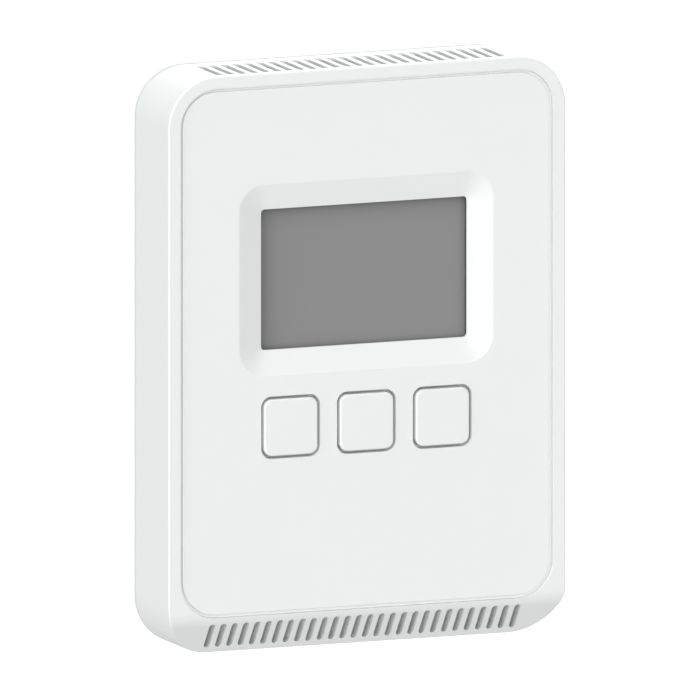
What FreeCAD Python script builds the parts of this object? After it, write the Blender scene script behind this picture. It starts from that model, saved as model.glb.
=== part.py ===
import FreeCAD
import Part

import math
import os

# Wall thermostat. Frame: X right, Z up, the wall is the plane Y = 0 and the case stands out towards -Y.
# The origin is the middle of the two box screws on the wall plane.

V = FreeCAD.Vector

# Case
WIDTH = 85.2
HEIGHT = 117.0
DEPTH = 18.4
CORNER_R = 10.25
WALL = 2.0
FRONT_FILLET = 0.35
BACK_GAP = 1.05
FLANGE_T = 1.0
FLANGE_INSET = 0.02
FLOOR_T = 2.4
INNER_CLEAR = 0.5
RIM_T = 1.2
RIM_H = 5.5

# Sloped lower front
SLOPE_Z = -HEIGHT / 2 + 7.37
SLOPE_DEPTH = 5.42
SLOPE_BLEND_R = 5.2

# Vents
TOP_SLOTS = 25
TOP_PITCH = 2.52
TOP_SLOT_W = 1.42
TOP_SLOT_L = 11.5
TOP_SLOT_DEPTH = 7.3
TOP_SLOT_SHIFT = -0.6
LOW_SLOTS = 28
LOW_PITCH = 2.424
LOW_SLOT_W = 1.35
LOW_SLOT_H = 5.2
LOW_SLOT_DEPTH = 8.4
VENT_BAR_T = 4.0
VENT_BAR_EDGE = 0.6

# Inset front panel
PANEL_SIDE = 3.25
PANEL_TOP = 3.2
PANEL_LOW = 8.34
PANEL_GAP = 0.68
PANEL_R = 7.0
PANEL_RECESS = 0.45
PANEL_T = 2.05
PANEL_STEP = 0.7
PANEL_FIT = 0.03
LEDGE_W = 2.7
LEDGE_T = 1.2

# Display window
WINDOW_Z = 16.6
WINDOW_W = 44.1
WINDOW_H = 28.35
WINDOW_R = 0.8
BEVEL_W = 5.2
BEVEL_R = 5.7
BEVEL_DEPTH = 1.5

# Buttons and switches
BUTTON_PITCH = 16.25
BUTTON_Z = -13.14
BUTTON_HOLE = 12.6
BUTTON_HOLE_R = 2.2
BUTTON_CLEAR = 0.6
BUTTON_PROUD = 0.4
BUTTON_FILLET = 0.3
BUTTON_LIP = 0.9
BUTTON_LIP_T = 0.5
BUTTON_LIP_H = 6.8
BUTTON_SKIRT_T = 0.4
BUTTON_SLACK = 0.05
BUTTON_STEM_R = 2.5
BUTTON_STEM_L = 0.1
TRAVEL = 0.5
SWITCH_SIZE = 6.0
SWITCH_H = 2.7
PLUNGER_R = 1.7
PLUNGER_H = 0.8
PLUNGER_FIT = 0.08

# Boards
BOARD_T = 1.6
MAIN_Y = -11.3
MAIN_W = 68.0
MAIN_LOW = -20.0
MAIN_TOP = 41.0
BOARD_SCREW_R = 1.1
BOARD_SCREW_FIT = 0.15
BOSS_R = 2.6
TERM_BOARD_Y = -5.2
TERM_BOARD_W = 68.0
TERM_BOARD_LOW = -34.0
TERM_BOARD_TOP = -6.0

# Display stack
GLASS_T = 1.2
GLASS_FRONT = -14.5
GLASS_W = 50.0
GLASS_H = 36.0
LIGHT_T = 1.8
LIGHT_H = 29.0
STRIP_T = 2.2
FRAME_T = 1.6
FRAME_CLEAR = 0.2
VIEW_MARGIN = 0.4

# Terminals, relays and header
POLES = 3
POLE_PITCH = 5.08
BLOCK_X = 20.4
BLOCK_Z = -27.2
BLOCK_D = 11.4
BLOCK_H = 8.0
TERM_SCREW_R = 1.7
RELAY_W = 7.4
RELAY_H = 7.8
RELAY_L = 12.4
HEADER_PINS = 8
HEADER_PITCH = 2.54
HEADER_Z = -10.0
SOCKET_H = 2.9
HEADER_H = 1.3
PIN_W = 0.64
PIN_CLEAR = 0.3

# Wall plate
STEP_DROP = 0.8
POCKET_DEPTH = 0.8
POCKET_X = (18.0, 38.0)
POCKET_ROWS = ((-51.0, -30.0), (-27.0, -3.0), (3.0, 26.0), (29.0, 50.0))
POCKET_R = 2.0
BOX_PITCH = 83.3
BOX_SLOT_W = 4.4
BOX_SLOT_L = 10.0
ENTRY_W = 30.0
ENTRY_LOW = 0.0
ENTRY_TOP = 24.0

# Top hinge and bottom lock screw
HINGE_Y = -3.4
HINGE_Z = HEIGHT / 2 - 3.9
HINGE_X = 25.0
HINGE_PIN_R = 0.9
HINGE_FIT = 0.08
HOOK_W = 8.0
HOOK_R = 1.9
EAR_T = 1.4
OPEN_ANGLE = 12.0
RELIEF_SPARE = 1.5
LOCK_Y = -4.6
LOCK_R = 1.2
LOCK_FIT = 0.06
LOCK_L = 4.6
LOCK_HOLE_R = 1.5

FRONT = -DEPTH
PANEL_FRONT = FRONT + PANEL_RECESS
PANEL_BACK = PANEL_FRONT + PANEL_T
MAIN_BACK = MAIN_Y + BOARD_T
TERM_FRONT = TERM_BOARD_Y
BUTTON_XS = (-BUTTON_PITCH, 0.0, BUTTON_PITCH)


def box(x0, x1, y0, y1, z0, z1):
    return Part.makeBox(x1 - x0, y1 - y0, z1 - z0, V(x0, y0, z0))


def cyl_x(x0, x1, y, z, r):
    return Part.makeCylinder(r, x1 - x0, V(x0, y, z), V(1, 0, 0))


def cyl_y(y0, y1, x, z, r):
    return Part.makeCylinder(r, y1 - y0, V(x, y0, z), V(0, 1, 0))


def cyl_z(z0, z1, x, y, r):
    return Part.makeCylinder(r, z1 - z0, V(x, y, z0), V(0, 0, 1))


def round_wire(x0, x1, z0, z1, r, y):
    """Closed wire of a rounded rectangle lying in a plane of constant Y."""
    a = r * (1 - math.sqrt(0.5))
    p = [V(x0 + r, y, z0), V(x1 - r, y, z0), V(x1 - a, y, z0 + a), V(x1, y, z0 + r),
         V(x1, y, z1 - r), V(x1 - a, y, z1 - a), V(x1 - r, y, z1), V(x0 + r, y, z1),
         V(x0 + a, y, z1 - a), V(x0, y, z1 - r), V(x0, y, z0 + r), V(x0 + a, y, z0 + a)]
    edges = [Part.makeLine(p[0], p[1]), Part.Arc(p[1], p[2], p[3]).toShape(),
             Part.makeLine(p[3], p[4]), Part.Arc(p[4], p[5], p[6]).toShape(),
             Part.makeLine(p[6], p[7]), Part.Arc(p[7], p[8], p[9]).toShape(),
             Part.makeLine(p[9], p[10]), Part.Arc(p[10], p[11], p[0]).toShape()]
    return Part.Wire(edges)


def round_box(x0, x1, y0, y1, z0, z1, r):
    face = Part.Face(round_wire(x0, x1, z0, z1, r, y0))
    return face.extrude(V(0, y1 - y0, 0))


def centred(w, h, z, y0, y1, r):
    return round_box(-w / 2, w / 2, y0, y1, z - h / 2, z + h / 2, r)


def fuse(shapes):
    return shapes[0].multiFuse(shapes[1:]).removeSplitter()


def cut(shape, tools):
    return shape.cut(Part.makeCompound(tools))


def slope_profile(inset, y_back):
    """Side outline of the case: flat front, blended lower slope, open back."""
    run = HEIGHT / 2 + SLOPE_Z
    front = FRONT + inset
    knee = SLOPE_Z + inset * math.tan(math.atan2(SLOPE_DEPTH, run) / 2)
    low = -HEIGHT / 2 + (inset if inset else -5.0)
    end_y = front + (knee - low) * SLOPE_DEPTH / run
    turn = math.atan2(SLOPE_DEPTH, run)
    t = max(SLOPE_BLEND_R - inset, 0.8) * math.tan(turn / 2)
    a = V(0, front, knee + t)
    b = V(0, front + t * math.sin(turn), knee - t * math.cos(turn))
    r = max(SLOPE_BLEND_R - inset, 0.8)
    centre = V(0, front + r, knee + t)
    m = centre + V(0, -r * math.cos(turn / 2), -r * math.sin(turn / 2))
    top = HEIGHT / 2 + 5.0
    edges = [Part.makeLine(V(0, y_back, top), V(0, front, top)), Part.makeLine(V(0, front, top), a),
             Part.Arc(a, m, b).toShape(), Part.makeLine(b, V(0, end_y, low)),
             Part.makeLine(V(0, end_y, low), V(0, y_back, low)),
             Part.makeLine(V(0, y_back, low), V(0, y_back, top))]
    face = Part.Face(Part.Wire(edges))
    solid = face.extrude(V(WIDTH + 20, 0, 0))
    solid.translate(V(-WIDTH / 2 - 10, 0, 0))
    return solid


def case_block(inset, y_front, y_back):
    w = WIDTH / 2 - inset
    h = HEIGHT / 2 - inset
    return round_box(-w, w, y_front, y_back, -h, h, CORNER_R - inset)


def slope_middle():
    """Turn of the lower slope about X in degrees, and the depth and height of its middle."""
    run = HEIGHT / 2 + SLOPE_Z
    mid_z = (SLOPE_Z - HEIGHT / 2) / 2 + 0.08
    mid_y = FRONT + (SLOPE_Z - mid_z) * SLOPE_DEPTH / run
    return math.degrees(math.atan2(SLOPE_DEPTH, run)), mid_y, mid_z


def vent_bars():
    """Thick band behind the lower slope, which the slots divide into deep bars."""
    turn, mid_y, mid_z = slope_middle()
    w = LOW_SLOTS * LOW_PITCH / 2 + VENT_BAR_EDGE
    h = LOW_SLOT_H / 2 / math.cos(math.radians(turn)) + VENT_BAR_EDGE
    band = box(-w, w, WALL - 0.3, VENT_BAR_T, -h, h)
    band.rotate(V(0, 0, 0), V(1, 0, 0), turn)
    band.translate(V(0, mid_y, mid_z))
    return band


def low_slots():
    """Vent slots through the lower slope, running straight back as the mould opens."""
    mid_z = slope_middle()[2]
    half = LOW_SLOT_W / 2
    tools = []
    for i in range(LOW_SLOTS):
        x = (i - (LOW_SLOTS - 1) / 2) * LOW_PITCH
        tools.append(round_box(x - half, x + half, FRONT - 1, FRONT + LOW_SLOT_DEPTH,
                               mid_z - LOW_SLOT_H / 2, mid_z + LOW_SLOT_H / 2, half - 0.001))
    return tools


def top_slots():
    """Vent slots through the top wall, long side running front to back."""
    tools = []
    y = FRONT + TOP_SLOT_DEPTH
    half = TOP_SLOT_L / 2 - TOP_SLOT_W / 2
    z0 = HEIGHT / 2 - WALL - 0.1
    for i in range(TOP_SLOTS):
        x = (i - (TOP_SLOTS - 1) / 2) * TOP_PITCH + TOP_SLOT_SHIFT
        mid = box(x - TOP_SLOT_W / 2, x + TOP_SLOT_W / 2, y - half, y + half, z0, z0 + 4)
        ends = [cyl_z(z0, z0 + 4, x, y - half, TOP_SLOT_W / 2),
                cyl_z(z0, z0 + 4, x, y + half, TOP_SLOT_W / 2)]
        tools.append(fuse([mid] + ends))
    return tools


def panel_shape(grow, y0, y1):
    r = PANEL_R + grow
    return round_box(-WIDTH / 2 + PANEL_SIDE - grow, WIDTH / 2 - PANEL_SIDE + grow, y0, y1,
                     -HEIGHT / 2 + PANEL_LOW - grow, HEIGHT / 2 - PANEL_TOP + grow, r)


def hinge_hooks():
    parts = []
    top = HEIGHT / 2 - WALL + 0.3
    for side in (-1, 1):
        x0 = side * HINGE_X - HOOK_W / 2
        ring = cyl_x(x0, x0 + HOOK_W, HINGE_Y, HINGE_Z, HOOK_R)
        web = box(x0, x0 + HOOK_W, HINGE_Y - HOOK_R, HINGE_Y + 1.0, HINGE_Z + 0.2, top)
        bore = cyl_x(x0 - 1, x0 + HOOK_W + 1, HINGE_Y, HINGE_Z, HINGE_PIN_R + HINGE_FIT)
        mouth = box(x0 - 1, x0 + HOOK_W + 1, HINGE_Y - HINGE_PIN_R + 0.1, HINGE_Y + HINGE_PIN_R - 0.1,
                    HINGE_Z - HOOK_R - 1, HINGE_Z)
        parts.append(cut(fuse([ring, web]), [bore, mouth]))
    return parts


def front_cover():
    outer = case_block(0, FRONT - 1, -BACK_GAP).common(slope_profile(0, 0))
    edges = [e for e in outer.Edges
             if all(abs(v.Point.y - FRONT) < 0.01 for v in e.Vertexes)
             and not (abs(e.Vertexes[0].Point.z - e.Vertexes[-1].Point.z) < 0.01
                      and e.Vertexes[0].Point.z < 0)]
    outer = outer.makeFillet(FRONT_FILLET, edges)
    inner = case_block(WALL, FRONT, 1).common(slope_profile(WALL, 5))
    ledge_back = PANEL_BACK + LEDGE_T
    inner = inner.common(box(-WIDTH, WIDTH, ledge_back, 5, -HEIGHT, HEIGHT))
    low_well = case_block(WALL, FRONT, 1).common(slope_profile(WALL, 5))
    low_well = low_well.common(box(-WIDTH, WIDTH, FRONT, 5, -HEIGHT, SLOPE_Z - 0.6))
    pocket = panel_shape(PANEL_GAP, FRONT - 2, PANEL_BACK)
    hole = panel_shape(-LEDGE_W, FRONT - 2, ledge_back + 0.1)
    relief = box(-WIDTH, WIDTH, 0, 10, 0, 20)
    relief.rotate(V(0, 0, 0), V(1, 0, 0), OPEN_ANGLE + RELIEF_SPARE)
    relief.translate(V(0, -BACK_GAP, HINGE_Z))
    lock = cyl_z(-HEIGHT / 2 - 1, -HEIGHT / 2 + WALL + 0.3, 0, LOCK_Y, LOCK_HOLE_R)
    shell = fuse([cut(outer, [inner, low_well]), vent_bars()])
    shell = cut(shell, [pocket, hole])
    shell = shell.cut(relief)
    shell = fuse([shell] + hinge_hooks())
    return cut(shell, [lock] + low_slots() + top_slots())


def front_panel():
    step = panel_shape(PANEL_GAP - PANEL_FIT, PANEL_FRONT + PANEL_STEP, PANEL_BACK)
    body = fuse([panel_shape(0, PANEL_FRONT, PANEL_BACK), step])
    z = WINDOW_Z
    w = WINDOW_W / 2
    h = WINDOW_H / 2
    b = BEVEL_W
    deep = PANEL_FRONT + BEVEL_DEPTH
    bevel = Part.makeLoft([round_wire(-w - b, w + b, z - h - b, z + h + b, BEVEL_R, PANEL_FRONT),
                           round_wire(-w, w, z - h, z + h, WINDOW_R, deep)], True)
    lid = centred(WINDOW_W + 2 * b, WINDOW_H + 2 * b, z, PANEL_FRONT - 1, PANEL_FRONT, BEVEL_R)
    hole = centred(WINDOW_W, WINDOW_H, z, deep - 0.01, PANEL_BACK + 1, WINDOW_R)
    tools = [fuse([bevel, lid]), hole]
    for x in BUTTON_XS:
        s = BUTTON_HOLE / 2
        tools.append(round_box(x - s, x + s, PANEL_FRONT - 1, PANEL_BACK + 1,
                               BUTTON_Z - s, BUTTON_Z + s, BUTTON_HOLE_R))
    for tool in tools:
        body = body.cut(tool)
    posts = []
    for x, zz in main_screw_points():
        posts.append(cyl_y(PANEL_BACK - 0.5, MAIN_Y, x, zz, BOSS_R))
    body = fuse([body] + posts)
    pilot = [cyl_y(MAIN_Y - 3.6, MAIN_Y + 1, x, zz, BOARD_SCREW_R) for x, zz in main_screw_points()]
    return cut(body, pilot)


def main_screw_points():
    x = MAIN_W / 2 - 3.2
    return [(-x, MAIN_TOP - 3.2), (x, MAIN_TOP - 3.2), (-x, MAIN_LOW + 3.6), (x, MAIN_LOW + 3.6)]


def term_screw_points():
    x = TERM_BOARD_W / 2 - 3.2
    return [(-x, TERM_BOARD_TOP - 3.2), (x, TERM_BOARD_TOP - 3.2),
            (-x, TERM_BOARD_LOW + 3.2), (x, TERM_BOARD_LOW + 3.2)]


def board_screw(x, z, head_y):
    """Pan-head screw driven from the board side, its shank pointing at the boss."""
    s = 1 if head_y > MAIN_BACK - 0.01 and head_y < MAIN_BACK + 0.01 else -1
    if s > 0:
        head = cyl_y(head_y, head_y + 1.3, x, z, 2.0)
        shank = cyl_y(head_y - BOARD_T - 3.2, head_y + 0.5, x, z, BOARD_SCREW_R)
        drive = box(x - 1.4, x + 1.4, head_y + 0.7, head_y + 2, z - 0.25, z + 0.25)
        cross = box(x - 0.25, x + 0.25, head_y + 0.7, head_y + 2, z - 1.4, z + 1.4)
    else:
        head = cyl_y(head_y - 1.3, head_y, x, z, 2.0)
        shank = cyl_y(head_y - 0.5, head_y + BOARD_T + 2.2, x, z, BOARD_SCREW_R)
        drive = box(x - 1.4, x + 1.4, head_y - 2, head_y - 0.7, z - 0.25, z + 0.25)
        cross = box(x - 0.25, x + 0.25, head_y - 2, head_y - 0.7, z - 1.4, z + 1.4)
    return cut(fuse([head, shank]), [drive, cross])


def main_board():
    board = box(-MAIN_W / 2, MAIN_W / 2, MAIN_Y, MAIN_BACK, MAIN_LOW, MAIN_TOP)
    r = BOARD_SCREW_R + BOARD_SCREW_FIT
    tools = [cyl_y(MAIN_Y - 1, MAIN_BACK + 1, x, z, r) for x, z in main_screw_points()]
    return cut(board, tools)


def terminal_board():
    board = box(-TERM_BOARD_W / 2, TERM_BOARD_W / 2, TERM_FRONT, TERM_FRONT + BOARD_T,
                TERM_BOARD_LOW, TERM_BOARD_TOP)
    r = BOARD_SCREW_R + BOARD_SCREW_FIT
    tools = [cyl_y(TERM_FRONT - 1, TERM_FRONT + BOARD_T + 1, x, z, r) for x, z in term_screw_points()]
    return cut(board, tools)


def base_plate():
    flange = case_block(FLANGE_INSET, -FLANGE_T, 0)
    step = WALL + INNER_CLEAR
    floor = case_block(step, -FLOOR_T, 0)
    wall = case_block(step, -RIM_H, -FLOOR_T + 0.1)
    wall = wall.cut(case_block(step + RIM_T, -RIM_H - 1, 0))
    wall = wall.cut(box(-WIDTH, WIDTH, -RIM_H - 1, 0, HINGE_Z - HOOK_R - 2.0, HEIGHT))
    under = TERM_FRONT + BOARD_T
    posts = [cyl_y(under, -FLOOR_T + 0.2, x, z, BOSS_R) for x, z in term_screw_points()]
    lock_block = box(-3.4, 3.4, -RIM_H - 1.6, -FLOOR_T + 0.1, -HEIGHT / 2 + step, -HEIGHT / 2 + step + 5.2)
    body = fuse([flange, floor, wall, lock_block] + posts)
    tools = [box(-ENTRY_W / 2, ENTRY_W / 2, -10, 1, ENTRY_LOW, ENTRY_TOP)]
    for z in (-BOX_PITCH / 2, BOX_PITCH / 2):
        r = BOX_SLOT_W / 2
        tools.append(round_box(-r, r, -10, 1, z - BOX_SLOT_L / 2, z + BOX_SLOT_L / 2, r - 0.001))
    for x, z in term_screw_points():
        tools.append(cyl_y(under - 1, under + 2.4, x, z, BOARD_SCREW_R))
    tools.append(cyl_z(-HEIGHT / 2, -HEIGHT / 2 + 12, 0, LOCK_Y, LOCK_R + LOCK_FIT))
    tools.append(box(-WIDTH, WIDTH, -FLOOR_T - 1, -FLANGE_T, HEIGHT / 2 - step - STEP_DROP, HEIGHT))
    for low, high in POCKET_ROWS:
        for x0, x1 in (POCKET_X, (-POCKET_X[1], -POCKET_X[0])):
            tools.append(round_box(x0, x1, -POCKET_DEPTH, 1, low, high, POCKET_R))
    half = HOOK_W / 2 + 0.5
    for side in (-1, 1):
        x = side * HINGE_X
        tools.append(box(x - half, x + half, -10, -FLANGE_T, HINGE_Z - HOOK_R - 0.8, HEIGHT))
    body = cut(body, tools)
    ears = []
    for side in (-1, 1):
        x = side * HINGE_X
        ears.append(cyl_x(x - half - EAR_T, x + half + EAR_T, HINGE_Y, HINGE_Z, HINGE_PIN_R))
        for e in (-1, 1):
            x0 = x + e * half if e > 0 else x - half - EAR_T
            ears.append(box(x0, x0 + EAR_T, HINGE_Y, -FLOOR_T + 0.2, HINGE_Z - 1.5, HINGE_Z + 1.4))
            ears.append(cyl_x(x0, x0 + EAR_T, HINGE_Y, HINGE_Z, 1.4))
    return fuse([body] + ears)


def button(x):
    s = BUTTON_HOLE / 2 - BUTTON_CLEAR
    front = PANEL_FRONT - BUTTON_PROUD
    lip0 = PANEL_BACK + BUTTON_SLACK
    back = lip0 + BUTTON_LIP_T
    cap = round_box(x - s, x + s, front, back, BUTTON_Z - s, BUTTON_Z + s, BUTTON_HOLE_R - 0.5)
    rim = [e for e in cap.Edges if all(abs(v.Point.y - front) < 0.01 for v in e.Vertexes)]
    cap = cap.makeFillet(BUTTON_FILLET, rim)
    lip_s = BUTTON_HOLE / 2 + BUTTON_LIP
    wings = round_box(x - lip_s, x + lip_s, lip0, back, BUTTON_Z - BUTTON_LIP_H / 2,
                      BUTTON_Z + BUTTON_LIP_H / 2, 0.8)
    end = back + BUTTON_SKIRT_T
    skirt = round_box(x - lip_s, x + lip_s, back, end, BUTTON_Z - lip_s, BUTTON_Z + lip_s, BUTTON_HOLE_R)
    stem = cyl_y(end - 0.2, end + BUTTON_STEM_L, x, BUTTON_Z, BUTTON_STEM_R)
    return fuse([cap, wings, skirt, stem])


def switch_body(x):
    s = SWITCH_SIZE / 2
    body = round_box(x - s, x + s, MAIN_Y - SWITCH_H, MAIN_Y, BUTTON_Z - s, BUTTON_Z + s, 0.5)
    bore = cyl_y(MAIN_Y - SWITCH_H - 1, MAIN_Y - SWITCH_H + 1.6, x, BUTTON_Z, PLUNGER_R + PLUNGER_FIT)
    legs = []
    for sx in (-1, 1):
        for sz in (-1, 1):
            lx = x + sx * (s + 0.45)
            lz = BUTTON_Z + sz * 2.0
            legs.append(box(lx - 0.6, lx + 0.6, MAIN_Y - 0.35, MAIN_Y, lz - 0.45, lz + 0.45))
    return fuse([body.cut(bore)] + legs)


def switch_plunger(x):
    y = MAIN_Y - SWITCH_H
    return cyl_y(y - PLUNGER_H, y + 1.0, x, BUTTON_Z, PLUNGER_R)


def lcd_parts():
    z = WINDOW_Z
    glass = box(-GLASS_W / 2, GLASS_W / 2, GLASS_FRONT, GLASS_FRONT + GLASS_T,
                z - GLASS_H / 2, z + GLASS_H / 2)
    light_front = GLASS_FRONT + GLASS_T
    light = box(-GLASS_W / 2 + 1, GLASS_W / 2 - 1, light_front, light_front + LIGHT_T,
                z - LIGHT_H / 2, z + LIGHT_H / 2)
    gap = MAIN_Y - light_front
    strips = []
    for side in (-1, 1):
        zc = z + side * (LIGHT_H / 2 + STRIP_T / 2 + 0.4)
        strips.append(box(-GLASS_W / 2 + 2, GLASS_W / 2 - 2, light_front, light_front + gap,
                          zc - STRIP_T / 2, zc + STRIP_T / 2))
    c = FRAME_CLEAR
    w = GLASS_W / 2 + c
    h = GLASS_H / 2 + c
    frame = round_box(-w - FRAME_T, w + FRAME_T, PANEL_BACK, MAIN_Y, z - h - FRAME_T,
                      z + h + FRAME_T, 1.2)
    inside = box(-w, w, GLASS_FRONT, MAIN_Y + 1, z - h, z + h)
    view_w = WINDOW_W / 2 + VIEW_MARGIN
    view_h = WINDOW_H / 2 + VIEW_MARGIN
    view = box(-view_w, view_w, PANEL_BACK - 1, MAIN_Y, z - view_h, z + view_h)
    frame = frame.cut(inside).cut(view)
    return {"lcd_glass": glass, "lcd_backlight": light, "elastomer_strips": Part.makeCompound(strips),
            "lcd_frame": frame}


def pole_xs(block_x):
    return [block_x + (i - (POLES - 1) / 2) * POLE_PITCH for i in range(POLES)]


def terminal_block(block_x):
    w = POLES * POLE_PITCH / 2
    y1 = TERM_FRONT
    y0 = y1 - BLOCK_H
    body = box(block_x - w, block_x + w, y0, y1, BLOCK_Z - BLOCK_D / 2, BLOCK_Z + BLOCK_D / 2)
    tools = []
    for x in pole_xs(block_x):
        tools.append(cyl_y(y0 - 1, y0 + 3.2, x, BLOCK_Z, TERM_SCREW_R + 0.3))
        tools.append(box(x - 2.0, x + 2.0, y0 + 2.4, y1 - 0.8, BLOCK_Z - 2.4, BLOCK_Z + 2.4))
        tools.append(box(x - 1.4, x + 1.4, y1 - 4.2, y1 - 1.4, BLOCK_Z, BLOCK_Z + BLOCK_D))
    for tool in tools:
        body = body.cut(tool)
    return body


def terminal_clamps():
    cages = []
    y1 = TERM_FRONT - 0.8
    y0 = TERM_FRONT - BLOCK_H + 2.9
    for bx in (-BLOCK_X, BLOCK_X):
        for x in pole_xs(bx):
            cage = box(x - 1.85, x + 1.85, y0, y1, BLOCK_Z - 2.0, BLOCK_Z + 2.0)
            window = box(x - 1.4, x + 1.4, y1 - 3.4, y1 - 0.6, BLOCK_Z - 3, BLOCK_Z + 3)
            hole = cyl_y(y0 - 1, y1 - 3, x, BLOCK_Z, 1.15)
            cages.append(cut(cage, [window, hole]))
    return Part.makeCompound(cages)


def terminal_screws():
    screws = []
    y0 = TERM_FRONT - BLOCK_H + 1.4
    for bx in (-BLOCK_X, BLOCK_X):
        for x in pole_xs(bx):
            head = cyl_y(y0, y0 + 1.3, x, BLOCK_Z, TERM_SCREW_R)
            shank = cyl_y(y0 + 1.0, y0 + 2.7, x, BLOCK_Z, 1.05)
            slot = box(x - 2, x + 2, y0 - 1, y0 + 0.7, BLOCK_Z - 0.3, BLOCK_Z + 0.3)
            screws.append(fuse([head, shank]).cut(slot))
    return Part.makeCompound(screws)


def relays():
    out = []
    for side in (-1, 1):
        x = side * (RELAY_W / 2 + 0.5)
        out.append(round_box(x - RELAY_W / 2, x + RELAY_W / 2, TERM_FRONT - RELAY_H, TERM_FRONT,
                             BLOCK_Z - RELAY_L / 2, BLOCK_Z + RELAY_L / 2, 0.5))
    return Part.makeCompound(out)


def pin_xs():
    return [(i - (HEADER_PINS - 1) / 2) * HEADER_PITCH for i in range(HEADER_PINS)]


def header_socket():
    w = HEADER_PINS * HEADER_PITCH / 2
    body = box(-w, w, TERM_FRONT - SOCKET_H, TERM_FRONT, HEADER_Z - 1.6, HEADER_Z + 1.6)
    h = PIN_W / 2 + PIN_CLEAR
    tools = [box(x - h, x + h, TERM_FRONT - SOCKET_H - 1, TERM_FRONT - 0.3, HEADER_Z - h, HEADER_Z + h)
             for x in pin_xs()]
    return cut(body, tools)


def header_pins():
    w = HEADER_PINS * HEADER_PITCH / 2
    strip = box(-w, w, MAIN_BACK, MAIN_BACK + HEADER_H, HEADER_Z - 1.25, HEADER_Z + 1.25)
    h = PIN_W / 2
    end = TERM_FRONT - 0.6
    pins = [box(x - h, x + h, MAIN_BACK, end, HEADER_Z - h, HEADER_Z + h) for x in pin_xs()]
    return fuse([strip] + pins)


def rear_parts():
    """Parts soldered on the rear of the main board."""
    y = MAIN_BACK
    mcu = [box(-17, -5, y + 0.15, y + 1.55, 4, 16)]
    for i in range(10):
        o = -16.0 + i * 1.1
        mcu.append(box(o, o + 0.5, y, y + 0.4, 2.9, 17.1))
        mcu.append(box(-18.1, -3.9, y, y + 0.4, o + 21.0, o + 21.5))
    chips = [box(8, 14, y, y + 1.6, 6, 10), box(8, 14, y, y + 1.6, 14, 18),
             box(-14, -9, y, y + 1.3, 24, 30)]
    small = []
    for i in range(5):
        small.append(box(18 + i * 2.6, 19.4 + i * 2.6, y, y + 0.7, 8, 10.2))
        small.append(box(18 + i * 2.6, 19.4 + i * 2.6, y, y + 0.7, 14, 16.2))
        small.append(box(-28 + i * 1.6, -27.2 + i * 1.6, y, y + 0.6, -2, -0.4))
    cans = [cyl_y(y, y + 4.6, 26, 28, 3.0), cyl_y(y, y + 4.6, 17.5, 28, 3.0)]
    crystal = round_box(-26, -21.5, y, y + 2.2, 8, 18, 2.2)
    sensor_stem = [box(30.6, 31.1, y - 0.9, y - 0.4, MAIN_LOW - 3.4, MAIN_LOW),
                   box(32.4, 32.9, y - 0.9, y - 0.4, MAIN_LOW - 3.4, MAIN_LOW)]
    bead = cyl_z(MAIN_LOW - 6.2, MAIN_LOW - 3.2, 31.75, y - 0.65, 1.5)
    bead = bead.makeFillet(0.6, [e for e in bead.Edges if len(e.Vertexes) == 1])
    return {"microcontroller": fuse(mcu), "board_chips": Part.makeCompound(chips),
            "board_passives": Part.makeCompound(small), "filter_capacitors": Part.makeCompound(cans),
            "crystal": crystal, "temperature_sensor": fuse([bead] + sensor_stem)}


def lock_screw():
    z1 = -HEIGHT / 2 + WALL + INNER_CLEAR + 0.15
    body = cyl_z(z1, z1 + LOCK_L, 0, LOCK_Y, LOCK_R)
    socket = cyl_z(z1 - 1, z1 + 1.6, 0, LOCK_Y, 0.55)
    return body.cut(socket)


def build():
    parts = {"base_plate": base_plate(), "front_cover": front_cover(), "front_panel": front_panel(),
             "main_board": main_board(), "terminal_board": terminal_board(),
             "terminal_block_left": terminal_block(-BLOCK_X),
             "terminal_block_right": terminal_block(BLOCK_X), "terminal_clamps": terminal_clamps(),
             "terminal_screws": terminal_screws(), "relays": relays(), "header_socket": header_socket(),
             "header_pins": header_pins(), "lock_screw": lock_screw()}
    parts.update(lcd_parts())
    parts.update(rear_parts())
    for name, x in zip(("left", "middle", "right"), BUTTON_XS):
        parts["button_" + name] = button(x)
        parts["switch_body_" + name] = switch_body(x)
        parts["switch_plunger_" + name] = switch_plunger(x)
    parts["main_board_screws"] = Part.makeCompound(
        [board_screw(x, z, MAIN_BACK) for x, z in main_screw_points()])
    parts["base_board_screws"] = Part.makeCompound(
        [board_screw(x, z, TERM_FRONT) for x, z in term_screw_points()])
    return parts


os.makedirs("parts", exist_ok=True)
for node, shape in build().items():
    shape.exportStep("parts/" + node + ".step")
    print(node, shape.isValid(), len(shape.Solids), round(shape.Volume, 1))
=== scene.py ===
import math

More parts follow.
